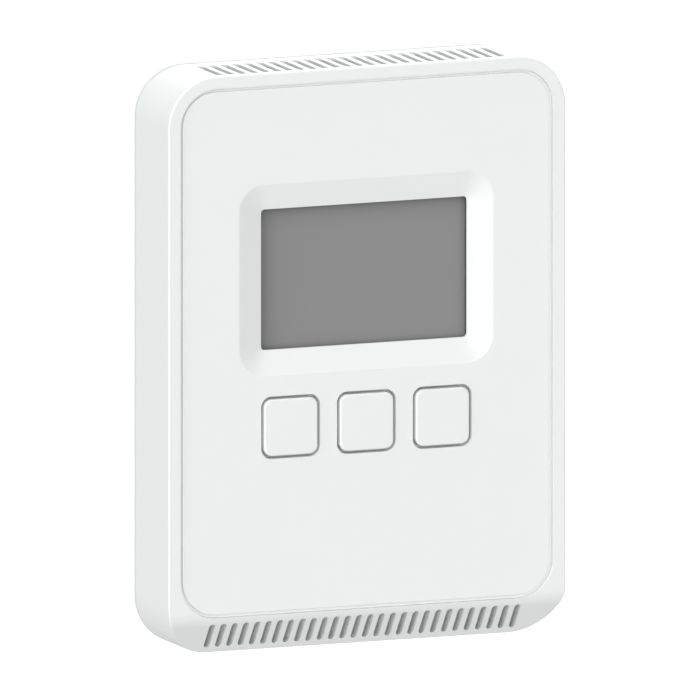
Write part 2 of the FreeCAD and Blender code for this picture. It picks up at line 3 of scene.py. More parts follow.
import bmesh
import bpy
import numpy as np
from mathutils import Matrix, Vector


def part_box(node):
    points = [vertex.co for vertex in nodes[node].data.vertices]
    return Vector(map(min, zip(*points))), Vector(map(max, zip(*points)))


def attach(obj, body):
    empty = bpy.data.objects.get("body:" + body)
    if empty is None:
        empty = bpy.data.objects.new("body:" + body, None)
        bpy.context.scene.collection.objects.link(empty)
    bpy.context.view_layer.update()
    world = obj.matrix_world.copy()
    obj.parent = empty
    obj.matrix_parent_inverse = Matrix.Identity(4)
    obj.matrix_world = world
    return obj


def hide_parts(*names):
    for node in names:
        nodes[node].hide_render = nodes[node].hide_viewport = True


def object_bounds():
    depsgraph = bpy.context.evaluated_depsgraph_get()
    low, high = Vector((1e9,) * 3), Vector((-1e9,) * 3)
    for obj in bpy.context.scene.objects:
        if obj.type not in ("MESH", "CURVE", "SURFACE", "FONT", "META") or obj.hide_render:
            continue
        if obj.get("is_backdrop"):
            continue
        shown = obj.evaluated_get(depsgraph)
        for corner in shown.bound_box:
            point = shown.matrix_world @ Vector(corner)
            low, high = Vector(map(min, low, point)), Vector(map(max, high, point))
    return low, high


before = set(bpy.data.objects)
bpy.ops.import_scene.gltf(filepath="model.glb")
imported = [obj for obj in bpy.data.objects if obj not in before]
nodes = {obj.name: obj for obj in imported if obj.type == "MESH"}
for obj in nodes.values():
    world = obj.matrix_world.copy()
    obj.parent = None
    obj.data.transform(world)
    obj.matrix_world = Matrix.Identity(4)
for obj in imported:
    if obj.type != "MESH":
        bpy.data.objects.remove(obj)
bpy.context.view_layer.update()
MM = 0.001


# Wall plate: a flat tray injection moulded in ABS, screwed to the box in the wall.
# It carries the hinge pins at its top, a low rim that centres the cover, posts for the lower
# board and the boss for the lock screw. Its edge shows as a thin line behind the cover. Its
# pale grey is partly its own tone and partly painted shade: it is set darker than the cover's
# white so that it stands in for the shade in the gap behind the cover.
# Plate tones: its own grey, made darker in part as painted shade for the gap behind the cover.
PLATE_TONE_AND_SHADE_LIGHT = (0.745, 0.765, 0.752, 1)
PLATE_TONE_AND_SHADE_DARK = (0.725, 0.745, 0.732, 1)
PLATE_POLISH = (0.45, 0.58)
SHARP_ANGLE = math.radians(28)


def mould_group():
    """Skin of a moulded part: fast noise is the spark-eroded grain, slow noise is uneven tone."""
    group = bpy.data.node_groups.new("mould_skin", "ShaderNodeTree")
    sockets = group.interface
    grain_size = sockets.new_socket("Grain Scale", in_out="INPUT", socket_type="NodeSocketFloat")
    cloud_size = sockets.new_socket("Cloud Scale", in_out="INPUT", socket_type="NodeSocketFloat")
    grain_size.default_value = 4000
    cloud_size.default_value = 60
    sockets.new_socket("Grain", in_out="OUTPUT", socket_type="NodeSocketFloat")
    sockets.new_socket("Tone", in_out="OUTPUT", socket_type="NodeSocketFloat")
    entry = group.nodes.new("NodeGroupInput")
    out = group.nodes.new("NodeGroupOutput")
    place = group.nodes.new("ShaderNodeTexCoord")
    for size, octaves, result in (("Grain Scale", 2, "Grain"), ("Cloud Scale", 4, "Tone")):
        noise = group.nodes.new("ShaderNodeTexNoise")
        noise.inputs["Detail"].default_value = octaves
        group.links.new(place.outputs["Object"], noise.inputs["Vector"])
        group.links.new(entry.outputs[size], noise.inputs["Scale"])
        group.links.new(noise.outputs["Fac"], out.inputs[result])
    return group


MOULD_SKIN = mould_group()


def finish(name, light, dark, polish, grain_scale=4000, grain_depth=0.003 * MM, cloud_scale=60):
    """A moulded, printed or plated finish: two close tones and polishes, mixed by the skin's slow noise."""
    material = bpy.data.materials.new(name)
    material.use_nodes = True
    tree = material.node_tree
    shader = tree.nodes["Principled BSDF"]
    skin = tree.nodes.new("ShaderNodeGroup")
    skin.node_tree = MOULD_SKIN
    skin.inputs["Grain Scale"].default_value = grain_scale
    skin.inputs["Cloud Scale"].default_value = cloud_scale
    tone = tree.nodes.new("ShaderNodeMix")
    tone.data_type = "RGBA"
    tone.inputs["A"].default_value = dark
    tone.inputs["B"].default_value = light
    gloss = tree.nodes.new("ShaderNodeMapRange")
    gloss.inputs["From Min"].default_value = 0.3
    gloss.inputs["From Max"].default_value = 0.7
    gloss.inputs["To Min"].default_value = polish[0]
    gloss.inputs["To Max"].default_value = polish[1]
    bump = tree.nodes.new("ShaderNodeBump")
    bump.inputs["Distance"].default_value = grain_depth
    tree.links.new(skin.outputs["Tone"], tone.inputs["Factor"])
    tree.links.new(skin.outputs["Tone"], gloss.inputs["Value"])
    tree.links.new(skin.outputs["Grain"], bump.inputs["Height"])
    tree.links.new(tone.outputs["Result"], shader.inputs["Base Color"])
    tree.links.new(gloss.outputs["Result"], shader.inputs["Roughness"])
    tree.links.new(bump.outputs["Normal"], shader.inputs["Normal"])
    return material


def soften(piece, width):
    """Edges sharper than SHARP_ANGLE get a narrow rounded bevel, and flat faces keep flat shading."""
    bevel = piece.modifiers.new("soft_edges", "BEVEL")
    bevel.width = width
    bevel.segments = 2
    bevel.limit_method = "ANGLE"
    bevel.angle_limit = SHARP_ANGLE
    bevel.miter_outer = "MITER_ARC"
    even = piece.modifiers.new("flat_faces", "WEIGHTED_NORMAL")
    even.keep_sharp = True
    even.weight = 80


def refine(node, body, material, edge=0.12 * MM):
    """A merged copy of a CAD node: doubled corners joined, flat triangles made whole faces, edges rounded."""
    mesh = nodes[node].data.copy()
    mesh.name = node + "_finished"
    work = bmesh.new()
    work.from_mesh(mesh)
    bmesh.ops.remove_doubles(work, verts=work.verts, dist=0.002 * MM)
    bmesh.ops.dissolve_limit(work, angle_limit=math.radians(0.4), verts=work.verts, edges=work.edges)
    work.to_mesh(mesh)
    work.free()
    mesh.shade_smooth()
    mesh.set_sharp_from_angle(angle=SHARP_ANGLE)
    mesh.materials.clear()
    mesh.materials.append(material)
    piece = bpy.data.objects.new(node + "_finished", mesh)
    bpy.context.scene.collection.objects.link(piece)
    if edge:
        soften(piece, edge)
    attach(piece, body)
    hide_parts(node)
    return piece


# The plate's material carries painted shade for the gap behind the cover as well as its own tone.
plate_plastic_and_painted_shade = finish("plate_plastic_and_painted_shade", PLATE_TONE_AND_SHADE_LIGHT, PLATE_TONE_AND_SHADE_DARK, PLATE_POLISH)
refine("base_plate", "base", plate_plastic_and_painted_shade)


# Lower circuit board: green glass laminate on four posts of the wall plate. Its tracks show through
# the solder mask, its sawn edges show the bare laminate, and soldered pins end on its back.
MASK_LIGHT = (0.028, 0.19, 0.085, 1)
MASK_DARK = (0.022, 0.15, 0.066, 1)
TRACK_COLOUR = (0.07, 0.33, 0.15, 1)
TRACK_RELIEF = 0.03 * MM
LAMINATE_LIGHT = (0.50, 0.47, 0.27, 1)
LAMINATE_DARK = (0.42, 0.39, 0.21, 1)
TIN_LIGHT = (0.74, 0.74, 0.75, 1)
TIN_DARK = (0.58, 0.58, 0.60, 1)


def tracks_group():
    """Tracks under the mask: the joints of a brick pattern in x and z, kept where slow noise is high."""
    group = bpy.data.node_groups.new("board_tracks", "ShaderNodeTree")
    size = group.interface.new_socket("Track Scale", in_out="INPUT", socket_type="NodeSocketFloat")
    size.default_value = 260
    group.interface.new_socket("Track", in_out="OUTPUT", socket_type="NodeSocketFloat")
    entry = group.nodes.new("NodeGroupInput")
    out = group.nodes.new("NodeGroupOutput")
    place_on = group.nodes.new("ShaderNodeTexCoord")
    axes = group.nodes.new("ShaderNodeSeparateXYZ")
    flat = group.nodes.new("ShaderNodeCombineXYZ")
    bricks = group.nodes.new("ShaderNodeTexBrick")
    bricks.inputs["Mortar Size"].default_value = 0.06
    bricks.inputs["Mortar Smooth"].default_value = 0.1
    areas = group.nodes.new("ShaderNodeTexNoise")
    areas.inputs["Scale"].default_value = 130
    keep = group.nodes.new("ShaderNodeMapRange")
    keep.inputs["From Min"].default_value = 0.44
    keep.inputs["From Max"].default_value = 0.46
    both = group.nodes.new("ShaderNodeMath")
    both.operation = "MULTIPLY"
    group.links.new(place_on.outputs["Object"], axes.inputs["Vector"])
    group.links.new(axes.outputs["X"], flat.inputs["X"])
    group.links.new(axes.outputs["Z"], flat.inputs["Y"])
    group.links.new(flat.outputs["Vector"], bricks.inputs["Vector"])
    group.links.new(entry.outputs["Track Scale"], bricks.inputs["Scale"])
    group.links.new(flat.outputs["Vector"], areas.inputs["Vector"])
    group.links.new(areas.outputs["Fac"], keep.inputs["Value"])
    group.links.new(bricks.outputs["Fac"], both.inputs[0])
    group.links.new(keep.outputs["Result"], both.inputs[1])
    group.links.new(both.outputs["Value"], out.inputs["Track"])
    return group


BOARD_TRACKS = tracks_group()


def overlay(material, mask, colour):
    """Lays a colour over a finish's own colour, as far as the mask goes from 0 to 1."""
    tree = material.node_tree
    shader = tree.nodes["Principled BSDF"]
    paint = tree.nodes.new("ShaderNodeMix")
    paint.data_type = "RGBA"
    paint.inputs["B"].default_value = colour
    tree.links.new(mask, paint.inputs["Factor"])
    tree.links.new(shader.inputs["Base Color"].links[0].from_socket, paint.inputs["A"])
    tree.links.new(paint.outputs["Result"], shader.inputs["Base Color"])


def masked_board(name, track_scale):
    """Solder mask over copper: tracks are a lighter green and stand up a little from the laminate."""
    material = finish(name, MASK_LIGHT, MASK_DARK, (0.22, 0.32), 900)
    tree = material.node_tree
    shader = tree.nodes["Principled BSDF"]
    tracks = tree.nodes.new("ShaderNodeGroup")
    tracks.node_tree = BOARD_TRACKS
    tracks.inputs["Track Scale"].default_value = track_scale
    relief = tree.nodes.new("ShaderNodeBump")
    relief.inputs["Distance"].default_value = TRACK_RELIEF
    tree.links.new(tracks.outputs["Track"], relief.inputs["Height"])
    tree.links.new(shader.inputs["Normal"].links[0].from_socket, relief.inputs["Normal"])
    tree.links.new(relief.outputs["Normal"], shader.inputs["Normal"])
    overlay(material, tracks.outputs["Track"], TRACK_COLOUR)
    return material


def second_finish(piece, material, rule):
    """Gives some whole faces a second material: rule takes face centres and normals as arrays."""
    faces = piece.data.polygons
    centres = np.empty(len(faces) * 3)
    normals = np.empty(len(faces) * 3)
    faces.foreach_get("center", centres)
    faces.foreach_get("normal", normals)
    piece.data.materials.append(material)
    faces.foreach_set("material_index", rule(centres.reshape(-1, 3), normals.reshape(-1, 3)).astype(np.int32))


def metal(name, light, dark, polish, grain_scale=2500):
    """A plated or bare metal, brightest where its skin's slow noise is high."""
    material = finish(name, light, dark, polish, grain_scale, 0.002 * MM, 300)
    material.node_tree.nodes["Principled BSDF"].inputs["Metallic"].default_value = 1.0
    return material


def rounded_outline(size, radius, centre, corner_steps=16, side_steps=6):
    """Rounded rectangle as (x, z) points: each quarter turn is centre + radius * (cos a, sin a),
    and a straight run of evenly spaced points joins its end to the start of the next one."""
    half = np.array(size) / 2 - radius
    signs = np.array([(1, 1), (-1, 1), (-1, -1), (1, -1)])
    turn = np.linspace(0, np.pi / 2, corner_steps + 1)
    angle = turn[None, :] + np.arange(4)[:, None] * np.pi / 2
    arcs = (signs * half)[:, None, :] + radius * np.stack([np.cos(angle), np.sin(angle)], axis=2)
    share = np.linspace(0, 1, side_steps + 2)[1:-1][None, :, None]
    runs = arcs[:, -1:, :] * (1 - share) + np.roll(arcs, -1, axis=0)[:, :1, :] * share
    return np.concatenate([arcs, runs], axis=1).reshape(-1, 2) + np.array(centre)


def ring(outline, y):
    """An outline in the x, z plane placed at depth y, one number or one for each point."""
    return np.stack([outline[:, 0], np.broadcast_to(y, len(outline)), outline[:, 1]], axis=1)


def closed_mesh(name, points, faces):
    """A mesh from points and faces, with every face turned outwards."""
    mesh = bpy.data.meshes.new(name)
    mesh.from_pydata(points, [], faces)
    work = bmesh.new()
    work.from_mesh(mesh)
    bmesh.ops.recalc_face_normals(work, faces=work.faces)
    work.to_mesh(mesh)
    work.free()
    return mesh


def skin_mesh(name, rings, closed):
    """Quads between each ring and the next. Closed joins the last ring to the first; open caps both ends."""
    rings = np.stack(rings)
    count, around = rings.shape[:2]
    rows = np.arange(count if closed else count - 1)[:, None]
    cols = np.arange(around)[None, :]
    after = (rows + 1) % count
    beside = (cols + 1) % around
    quads = np.stack([rows * around + cols, rows * around + beside, after * around + beside,
                      after * around + cols], axis=2).reshape(-1, 4).tolist()
    if not closed:
        quads.append(list(range(around))[::-1])
        quads.append(list(range((count - 1) * around, count * around)))
    return closed_mesh(name, rings.reshape(-1, 3).tolist(), quads)


def place(name, mesh, material):
    """Puts a finished mesh in the scene, smooth except across sharp edges."""
    mesh.shade_smooth()
    mesh.set_sharp_from_angle(angle=SHARP_ANGLE)
    mesh.materials.clear()
    mesh.materials.append(material)
    piece = bpy.data.objects.new(name, mesh)
    bpy.context.scene.collection.objects.link(piece)
    return piece


def stacked(centre, levels, corner_steps=5, side_steps=1):
    """Rounded rectangles stacked along Y and skinned: each level is y, width, height, corner radius in mm,
    y counted from the centre point, and both ends are capped."""
    rings = [ring(rounded_outline((w * MM, h * MM), r * MM, (centre[0], centre[2]), corner_steps, side_steps),
                  centre[1] + y * MM) for y, w, h, r in levels]
    return skin_mesh("shell", rings, False)


def turned(centre, profile, steps=7):
    """A turned shape standing along Y: each level of the profile is y and radius in mm."""
    return stacked(centre, [(y, 2 * r, 2 * r, 0.999 * r) for y, r in profile], steps, 0)


def assemble(name, shells, materials, body, slot_name, *stands_for):
    """One piece from closed shells given as (mesh, material number), riding on a body."""
    work = bmesh.new()
    for shell, number in shells:
        shell.polygons.foreach_set("material_index", np.full(len(shell.polygons), number, dtype=np.int32))
        work.from_mesh(shell)
    mesh = bpy.data.meshes.new(name)
    work.to_mesh(mesh)
    work.free()
    numbers = np.empty(len(mesh.polygons), dtype=np.int32)
    mesh.polygons.foreach_get("material_index", numbers)
    piece = place(name, mesh, materials[0])
    for material in materials[1:]:
        mesh.materials.append(material)
    mesh.polygons.foreach_set("material_index", numbers)
    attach(piece, body)
    if stands_for:
        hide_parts(*stands_for)
    return piece


def solids(node):
    """Lowest and highest corner of each separate solid in a CAD node, as arrays. Corners at one place
    count as one, and each takes the lowest number among its neighbours until nothing changes."""
    mesh = nodes[node].data
    points = np.empty(len(mesh.vertices) * 3)
    mesh.vertices.foreach_get("co", points)
    points = points.reshape(-1, 3)
    ends = np.empty(len(mesh.edges) * 2, dtype=np.int64)
    mesh.edges.foreach_get("vertices", ends)
    joined, same = np.unique(np.round(points / (0.002 * MM)).astype(np.int64), axis=0, return_inverse=True)
    ends = same.reshape(-1)[ends].reshape(-1, 2)
    label = np.arange(len(joined))
    settled = False
    while not settled:
        before = label.copy()
        lowest = label[ends].min(axis=1)
        np.minimum.at(label, ends[:, 0], lowest)
        np.minimum.at(label, ends[:, 1], lowest)
        settled = np.array_equal(before, label)
    label = label[same.reshape(-1)]
    return [(points[label == one].min(axis=0), points[label == one].max(axis=0)) for one in np.unique(label)]


def cut(piece, cutters):
    """Takes closed cutter meshes out of a piece, then stores the result as its own mesh."""
    tools = [bpy.data.objects.new("cutter", mesh) for mesh in cutters]
    for tool in tools:
        bpy.context.scene.collection.objects.link(tool)
        trim = piece.modifiers.new("cut", "BOOLEAN")
        trim.operation = "DIFFERENCE"
        trim.solver = "EXACT"
        trim.object = tool
    bpy.context.view_layer.update()
    shaped = bpy.data.meshes.new_from_object(piece.evaluated_get(bpy.context.evaluated_depsgraph_get()))
    piece.modifiers.clear()
    piece.data = shaped
    shaped.shade_smooth()
    shaped.set_sharp_from_angle(angle=SHARP_ANGLE)
    for tool in tools:
        bpy.data.objects.remove(tool)


green_board = masked_board("green_board", 260)
laminate = finish("laminate", LAMINATE_LIGHT, LAMINATE_DARK, (0.6, 0.75), 1500)
tin = metal("tin", TIN_LIGHT, TIN_DARK, (0.22, 0.4))


def sawn_edges(centres, normals):
    """Faces that don't look along Y are the board's sawn edges."""
    return np.abs(normals[:, 1]) < 0.5


lower_board = refine("terminal_board", "base", green_board, 0.08 * MM)
second_finish(lower_board, laminate, sawn_edges)
block_boxes = [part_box("terminal_block_" + side) for side in ("left", "right")]
relay_boxes = solids("relays")
socket_low, socket_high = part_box("header_socket")
board_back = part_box("terminal_board")[1].y
pin_points = [(x, z) for low, high in block_boxes
              for x in np.linspace(low.x, high.x, 7)[1::2] for z in [(low.z + high.z) / 2]]
pin_points += [(x, z) for low, high in relay_boxes
               for x in (low[0] + MM, high[0] - MM) for z in np.linspace(low[2] + MM, high[2] - MM, 3)]
pin_points += [(x, (socket_low.z + socket_high.z) / 2)
               for x in np.linspace(socket_low.x, socket_high.x, 17)[1::2]]
joints = []
for x, z in pin_points:
    joints.append((turned((x, board_back, z), [(-0.02, 0.8), (0.05, 0.78), (0.2, 0.55), (0.45, 0.38),
                                               (0.7, 0.32), (0.8, 0.2)]), 0))
assemble("lower_board_solder", joints, [tin], "base", "board")


# Four pan-head screws of zinc-plated steel hold the lower board to its posts.
ZINC_LIGHT = (0.66, 0.67, 0.69, 1)
ZINC_DARK = (0.50, 0.51, 0.54, 1)
zinc = metal("zinc_plate", ZINC_LIGHT, ZINC_DARK, (0.28, 0.42))
refine("base_board_screws", "base", zinc, 0.1 * MM)


# Terminal blocks: two three-pole housings moulded in grey-green nylon and soldered to the lower board.
# Each pole holds a nickel-plated brass cage and a slotted steel screw that clamps the wire from below.
NYLON_LIGHT = (0.12, 0.24, 0.20, 1)
NYLON_DARK = (0.10, 0.20, 0.165, 1)
NICKEL_LIGHT = (0.72, 0.69, 0.62, 1)
NICKEL_DARK = (0.60, 0.56, 0.48, 1)
nylon = finish("terminal_nylon", NYLON_LIGHT, NYLON_DARK, (0.42, 0.55), 3000)
nickel = metal("nickel_plate", NICKEL_LIGHT, NICKEL_DARK, (0.25, 0.38))
refine("terminal_block_left", "base", nylon, 0.15 * MM)
refine("terminal_block_right", "base", nylon, 0.15 * MM)
refine("terminal_clamps", "base", nickel, 0.1 * MM)
refine("terminal_screws", "base", zinc, 0.1 * MM)


# Relays: two sealed miniature relays. A dark blue cover is pushed over a plinth and glued all round,
# which leaves a groove near the board, and a small vent nib stands in one corner of the top.
RELAY_LIGHT = (0.018, 0.03, 0.055, 1)
RELAY_DARK = (0.014, 0.022, 0.042, 1)
relay_cover = finish("relay_cover", RELAY_LIGHT, RELAY_DARK, (0.35, 0.5), 3500)


def relay_shells(low, high):
    """Plinth, glue groove, cover with drafted sides and rounded top edge, and the vent nib."""
    w, d, h = (high - low) / MM
    centre = ((low[0] + high[0]) / 2, high[1], (low[2] + high[2]) / 2)
    cover = stacked(centre, [(0, w - 0.7, h - 0.7, 0.3), (-0.35, w - 0.7, h - 0.7, 0.3),
                             (-0.35, w - 0.1, h - 0.1, 0.4), (-0.9, w - 0.1, h - 0.1, 0.4),
                             (-0.95, w - 0.4, h - 0.4, 0.35), (-1.15, w - 0.4, h - 0.4, 0.35),
                             (-1.2, w, h, 0.5), (-d + 0.4, w - 0.06, h - 0.06, 0.5),
                             (-d + 0.2, w - 0.2, h - 0.2, 0.45), (-d + 0.08, w - 0.5, h - 0.5, 0.4),
                             (-d + 0.05, w - 0.9, h - 0.9, 0.3)])
    nib = turned((low[0] + 1.3 * MM, low[1] + 0.05 * MM, high[2] - 1.3 * MM),
                 [(0.05, 0.45), (-0.02, 0.42), (-0.05, 0.3)])
    return [(cover, 0), (nib, 0)]


relay_parts = [shell for low, high in relay_boxes for shell in relay_shells(low, high)]
assemble("relay_pair", relay_parts, [relay_cover], "base", "dark_plastic", "relays")


# Header socket: black eight-way housing on the lower board that takes the cover's pins.
RESIN_LIGHT = (0.022, 0.022, 0.024, 1)
RESIN_DARK = (0.014, 0.014, 0.016, 1)
black_resin = finish("black_resin", RESIN_LIGHT, RESIN_DARK, (0.38, 0.52), 3000)
refine("header_socket", "base", black_resin, 0.08 * MM)


# Cover: the outer shell, moulded in white ABS in one piece with its rim, its sloped foot and both
# rows of vents. It hooks over the plate's pins at the top and is held by one screw at the bottom.
CASE_LIGHT = (0.845, 0.868, 0.853, 1)
CASE_DARK = (0.83, 0.853, 0.838, 1)
CASE_POLISH = (0.48, 0.56)
case_plastic = finish("case_plastic", CASE_LIGHT, CASE_DARK, CASE_POLISH)
refine("front_cover", "cover", case_plastic, 0.05 * MM)


# Inset front panel: a separate white ABS plate glued into the cover's pocket. A thin step round it
# closes the gap to the rim. It carries the bevelled window, the button holes and four screw posts.
PANEL_EDGE_R = 0.12 * MM
PANEL_CORNER_R = 7.0 * MM
STEP_OUT = 0.65 * MM
STEP_DOWN = 0.7 * MM
WINDOW_SIZE = (44.2 * MM, 28.4 * MM)
WINDOW_SHIFT = (0.1 * MM, -0.07 * MM)  # the opening lies this far off the glass's middle
WINDOW_R = 0.8 * MM
BEVEL_SIZE = (54.5 * MM, 38.75 * MM)
BEVEL_R = 5.7 * MM
BEVEL_DEPTH = 1.5 * MM
HOLE_R = 2.2 * MM
SKIRT_OUT = 0.9 * MM
CAP_GAP = 0.6 * MM
POST_R = 2.6

panel_low, panel_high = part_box("front_panel")
glass_low, glass_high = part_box("lcd_glass")
panel_front = panel_low.y
panel_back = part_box("lcd_frame")[0].y
panel_size = np.array((panel_high.x - panel_low.x, panel_high.z - panel_low.z)) - 2 * STEP_OUT
panel_centre = np.array(((panel_high.x + panel_low.x) / 2, (panel_high.z + panel_low.z) / 2))
window_centre = ((glass_low.x + glass_high.x) / 2, (glass_low.z + glass_high.z) / 2)


def panel_rings():
    """Closed loop of rings: window wall, bevel, face, rounded edge, side, step and back.
    The bevel is a straight line between its two outlines."""
    inner = rounded_outline(WINDOW_SIZE, WINDOW_R, np.array(window_centre) + WINDOW_SHIFT)
    outer = rounded_outline(BEVEL_SIZE, BEVEL_R, window_centre)
    edge = rounded_outline(panel_size, PANEL_CORNER_R, panel_centre)
    step = rounded_outline(panel_size + 2 * STEP_OUT, PANEL_CORNER_R + STEP_OUT, panel_centre)
    deep = panel_front + BEVEL_DEPTH
    rings = [ring(inner, y) for y in np.linspace(panel_back, deep + 0.1 * MM, 3)]
    for share in (0.0, 0.02, 0.1, 0.3, 0.5, 0.7, 0.9, 0.98, 1.0):
        line = inner * (1 - share) + outer * share
        rings.append(ring(line, deep + (panel_front - deep) * share))
    for share in (0.03, 0.12, 0.35, 0.65, 0.9, 0.98):
        rings.append(ring(outer * (1 - share) + edge * share, panel_front))
    for a in np.linspace(0, np.pi / 2, 5):
        inset = PANEL_EDGE_R * (1 - math.sin(a))
        rings.append(ring(rounded_outline(panel_size - 2 * inset, PANEL_CORNER_R - inset, panel_centre),
                          panel_front + PANEL_EDGE_R * (1 - math.cos(a))))
    for outline, y in ((edge, panel_front + STEP_DOWN), (step, panel_front + STEP_DOWN), (step, panel_back)):
        rings.append(ring(outline, y))
    return rings


front_panel = place("front_panel_face", skin_mesh("front_panel_face", panel_rings(), True), case_plastic)
hole_cutters = []
for side in ("left", "middle", "right"):
    cap_low, cap_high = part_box("button_" + side)
    centre = ((cap_low.x + cap_high.x) / 2, (cap_low.z + cap_high.z) / 2)
    hole_side = cap_high.x - cap_low.x - 2 * SKIRT_OUT
    outline = rounded_outline((hole_side, hole_side), HOLE_R, centre)
    ends = [ring(outline, panel_front - MM), ring(outline, panel_back + MM)]
    hole_cutters.append(skin_mesh("hole", ends, False))
cut(front_panel, hole_cutters)
soften(front_panel, 0.08 * MM)
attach(front_panel, "cover")
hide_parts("front_panel")

posts = []
for low, high in solids("main_board_screws"):
    post_length = (panel_high.y - panel_back) / MM
    posts.append((turned(((low[0] + high[0]) / 2, panel_back, (low[2] + high[2]) / 2),
                         [(-0.3, POST_R + 0.3), (0, POST_R + 0.3), (0.3, POST_R),
                          (post_length - 0.2, POST_R - 0.05), (post_length, POST_R - 0.2)], 9), 0))
assemble("panel_posts", posts, [case_plastic], "cover", "case", "front_panel")


# Buttons: white ABS caps that stand just proud of the panel. A wing on each side behind the panel
# keeps a cap in its hole, a thin skirt behind them keeps dust out, and a stem presses the switch.
CAP_R = 1.7 * MM
CAP_FILLET = 0.3 * MM
CAP_CROWN = 0.02 * MM
WING_SLACK = 0.05
WING_T = 0.5
SKIRT_T = 0.4
WING_H = 6.8


def button_rings(low, high):
    """Open stack of rings from the stem's end to the middle of the cap. The front fillet follows
    inset = r (1 - sin a), depth = r (1 - cos a), and the face rises to the middle as a low dome."""
    centre = ((low.x + high.x) / 2, (low.z + high.z) / 2)
    cap_size = np.array((high.x - low.x, high.z - low.z)) - 2 * (SKIRT_OUT + CAP_GAP)
    cap_back = panel_back + (WING_SLACK + WING_T + SKIRT_T) * MM
    stem = rounded_outline((5 * MM, 5 * MM), 2.499 * MM, centre)
    cap = rounded_outline(cap_size, CAP_R, centre)
    rings = [ring(stem, high.y), ring(stem, cap_back), ring(cap * 0.999 + np.array(centre) * 0.001, cap_back),
             ring(cap, cap_back - 0.05 * MM), ring(cap, low.y + CAP_FILLET + 0.4 * MM)]
    for a in np.linspace(np.pi / 2, 0, 8):
        inset = CAP_FILLET * (1 - math.sin(a))
        outline = rounded_outline(cap_size - 2 * inset, CAP_R - inset, centre)
        rings.append(ring(outline, low.y + CAP_CROWN + CAP_FILLET * (1 - math.cos(a))))
    face = rounded_outline(cap_size - 2 * CAP_FILLET, CAP_R - CAP_FILLET, centre)
    for share in (0.97, 0.9, 0.75, 0.5, 0.25, 0.02):
        outline = (face - np.array(centre)) * share + np.array(centre)
        rings.append(ring(outline, low.y + CAP_CROWN * share ** 2))
    return rings


for side in ("left", "middle", "right"):
    node = "button_" + side
    low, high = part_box(node)
    wing_width = (high.x - low.x) / MM
    middle = ((low.x + high.x) / 2, panel_back + WING_SLACK * MM, (low.z + high.z) / 2)
    skirt_back = WING_T + SKIRT_T
    skirt = stacked(middle, [(skirt_back, wing_width - 0.2, wing_width - 0.2, 2.1),
                             (skirt_back - 0.1, wing_width, wing_width, 2.2),
                             (WING_T, wing_width, wing_width, 2.2)])
    wings = stacked(middle, [(WING_T, wing_width - 0.2, WING_H - 0.2, 0.7),
                             (WING_T - 0.1, wing_width, WING_H, 0.8), (0.1, wing_width, WING_H, 0.8),
                             (0, wing_width - 0.2, WING_H - 0.2, 0.7)])
    shells = [(skin_mesh("cap", button_rings(low, high), False), 0), (wings, 0), (skirt, 0)]
    cap = assemble(node + "_cap", shells, [case_plastic], side + "_button", "button", node)
    even = cap.modifiers.new("flat_faces", "WEIGHTED_NORMAL")
    even.keep_sharp = True


# Display glass: two panes with a glued seam between them, and a grey reflective polariser film on
# the front. The display is off, so the film is plain grey. Its colour falls off to the left and top,
# which stands in for the soft shade of the window's edge and is not a property of the film.
FILM_LIGHT = (0.242, 0.242, 0.242, 1)
FILM_DARK = (0.235, 0.235, 0.235, 1)
PANE_LIGHT = (0.20, 0.26, 0.24, 1)
PANE_DARK = (0.16, 0.21, 0.195, 1)
SHADE_REACH = 6 * MM
SHADE_DEPTH = 0.27


def shade_film(material, left, top):
    """Shade = depth * (1 - distance / reach) squared from the left edge, plus the same from the top."""
    tree = material.node_tree
    place_on = tree.nodes.new("ShaderNodeTexCoord")
    axes = tree.nodes.new("ShaderNodeSeparateXYZ")
    total = tree.nodes.new("ShaderNodeMath")
    tree.links.new(place_on.outputs["Object"], axes.inputs["Vector"])
    sides = (("X", left, left + SHADE_REACH), ("Z", top, top - SHADE_REACH))
    for socket, (axis, edge, inside) in enumerate(sides):
        near = tree.nodes.new("ShaderNodeMapRange")
        near.inputs["From Min"].default_value = edge
        near.inputs["From Max"].default_value = inside
        near.inputs["To Min"].default_value = math.sqrt(SHADE_DEPTH)
        near.inputs["To Max"].default_value = 0
        square = tree.nodes.new("ShaderNodeMath")
        square.operation = "MULTIPLY"
        tree.links.new(axes.outputs[axis], near.inputs["Value"])
        tree.links.new(near.outputs["Result"], square.inputs[0])
        tree.links.new(near.outputs["Result"], square.inputs[1])
        tree.links.new(square.outputs["Value"], total.inputs[socket])
    overlay(material, total.outputs["Value"], (0, 0, 0, 1))


film = finish("polariser_film", FILM_LIGHT, FILM_DARK, (0.34, 0.4), 6000, 0.0008 * MM)
shade_film(film, window_centre[0] - WINDOW_SIZE[0] / 2, window_centre[1] + WINDOW_SIZE[1] / 2)
pane = finish("pane_glass", PANE_LIGHT, PANE_DARK, (0.08, 0.15), 1200, 0.0005 * MM)
w, d, h = (glass_high - glass_low) / MM
glass_centre = (window_centre[0], glass_high.y, window_centre[1])
panes = stacked(glass_centre, [(0, w - 0.1, h - 0.1, 0.2), (-0.05, w, h, 0.25), (-0.5, w, h, 0.25),
                               (-0.5, w - 0.4, h - 0.4, 0.2), (-0.56, w - 0.4, h - 0.4, 0.2),
                               (-0.56, w, h, 0.25), (-d + 0.2, w, h, 0.25),
                               (-d + 0.15, w - 0.1, h - 0.1, 0.2)])
film_sheet = stacked(glass_centre, [(-d + 0.15, w - 1, h - 1, 0.5), (-d + 0.03, w - 1, h - 1, 0.5),
                                    (-d, w - 1.06, h - 1.06, 0.47)], 5, 8)
assemble("display_glass", [(panes, 0), (film_sheet, 1)], [pane, film], "cover", "display", "lcd_glass")


# Display frame: black moulded surround that holds the glass against the panel.
refine("lcd_frame", "cover", black_resin, 0.15 * MM)


